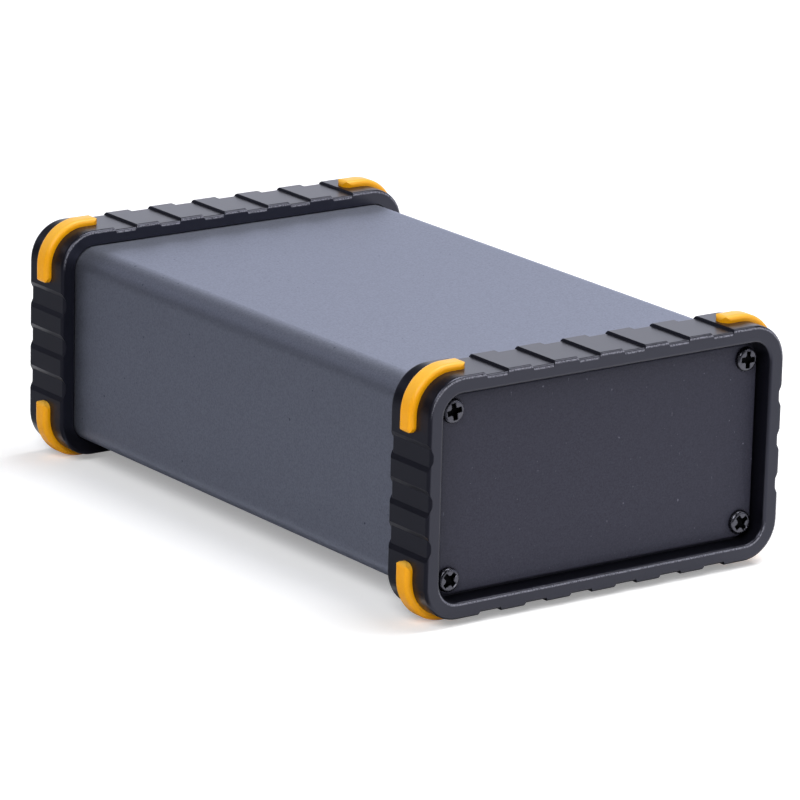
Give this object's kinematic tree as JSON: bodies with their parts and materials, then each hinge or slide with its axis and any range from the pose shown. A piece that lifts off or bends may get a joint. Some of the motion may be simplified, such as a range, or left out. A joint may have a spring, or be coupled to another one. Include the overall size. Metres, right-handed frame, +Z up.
{
  "type": "junction box",
  "caption": "Long aluminium junction box: seamless sleeve, recessed screwed end panels, black bumper bezels with grip lands and orange corner strips that serve as feet.",
  "frame": {"origin": "under the middle of the box, on the surface that its lower corner strips stand on", "axes": "+X across the width, +Y along the length from the front panel to the rear panel, +Z up"},
  "size_m": [0.105, 0.1674, 0.0602],
  "materials": {
    "anodised_sleeve": "fine bead-blasted and anodised, blue grey, satin",
    "bezel_plastic": "moulded, fine spark texture, charcoal black",
    "panel_anodised": "fine bead-blasted and anodised, black, matt",
    "screw_steel": "black zinc plated",
    "strip_rubber": "moulded soft rubber, orange yellow, satin"
  },
  "bodies": {
    "root": {"sleeve": "anodised_sleeve", "front_bezel": "bezel_plastic", "rear_bezel": "bezel_plastic", "front_panel": "panel_anodised", "rear_panel": "panel_anodised", "front_screws": "screw_steel", "rear_screws": "screw_steel", "front_upper_left_strip": "strip_rubber", "front_upper_right_strip": "strip_rubber", "front_lower_left_strip": "strip_rubber", "front_lower_right_strip": "strip_rubber", "rear_upper_left_strip": "strip_rubber", "rear_upper_right_strip": "strip_rubber", "rear_lower_left_strip": "strip_rubber", "rear_lower_right_strip": "strip_rubber"}
  },
  "joints": []
}
